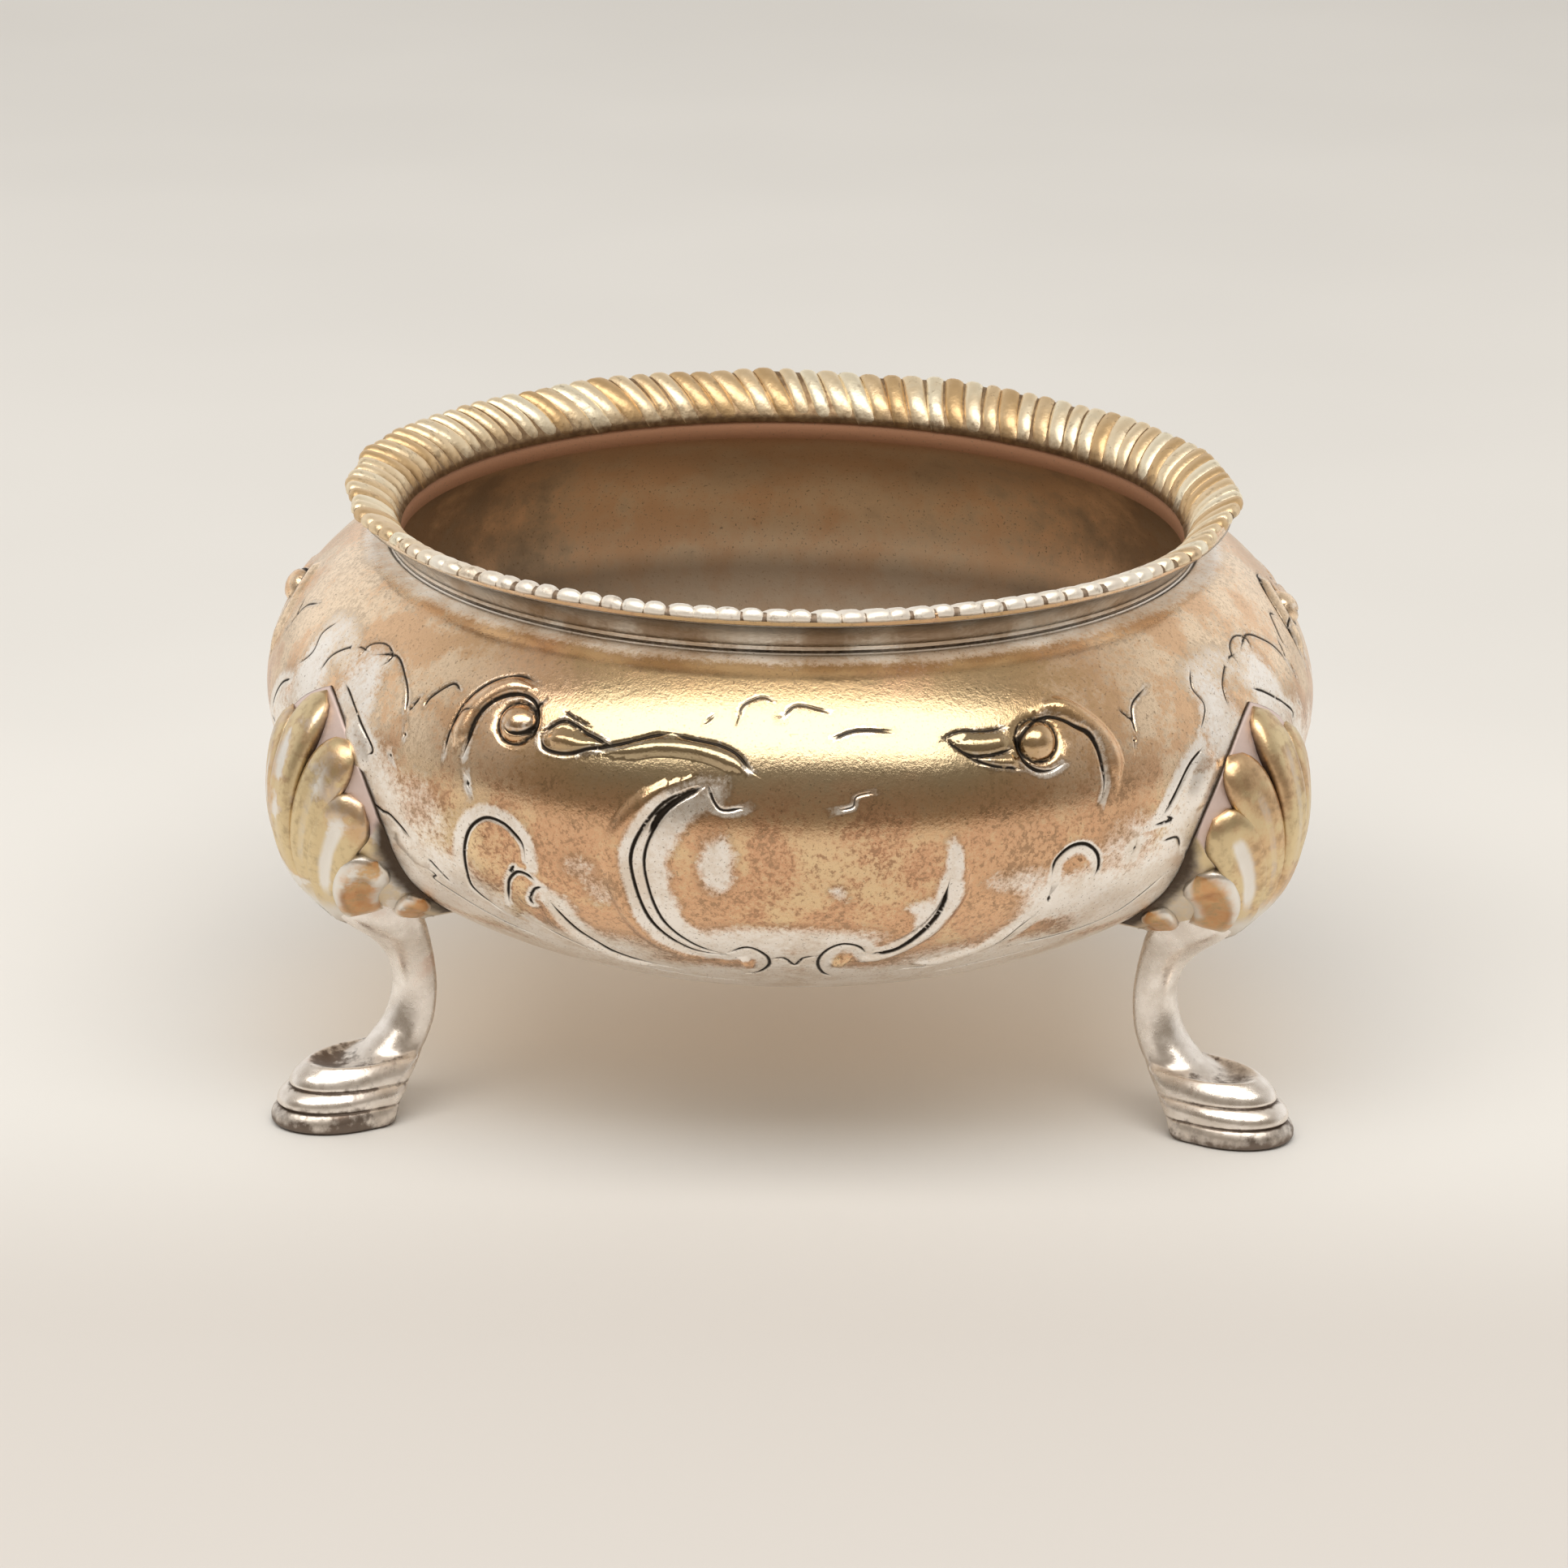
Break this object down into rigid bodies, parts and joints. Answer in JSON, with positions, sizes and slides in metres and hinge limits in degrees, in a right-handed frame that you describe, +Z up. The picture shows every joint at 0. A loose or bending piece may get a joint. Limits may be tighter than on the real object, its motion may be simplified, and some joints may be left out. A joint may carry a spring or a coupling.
{
  "type": "salt cellar",
  "caption": "Open salt cellar: squat raised bowl with a flared gadrooned lip, on cabriole legs with shell knees and hoof feet, in worn silver plate over brass.",
  "frame": {"origin": "on the bowl's axis, in the plane of the soles of the feet", "axes": "+Z up along the bowl's axis, -Y towards the front, midway between two legs, +X to the right"},
  "size_m": [0.0806, 0.0851, 0.045],
  "materials": {
    "bowl_sheet": "polished silver plate worn to copper-coloured brass, tarnished in the chasing",
    "border": "polished, plate worn off the lobes, dark grooves",
    "leg_casting": "polished silver plate with brown tarnish in the hollows",
    "shell_casting": "worn golden brass with silver left in the flutes, dark joints"
  },
  "bodies": {
    "root": {"bowl": "bowl_sheet", "gadroon_border": "border", "leg_front_left": "leg_casting", "leg_front_right": "leg_casting", "leg_back": "leg_casting", "shell_front_left": "shell_casting", "shell_front_right": "shell_casting", "shell_back": "shell_casting"}
  },
  "joints": []
}
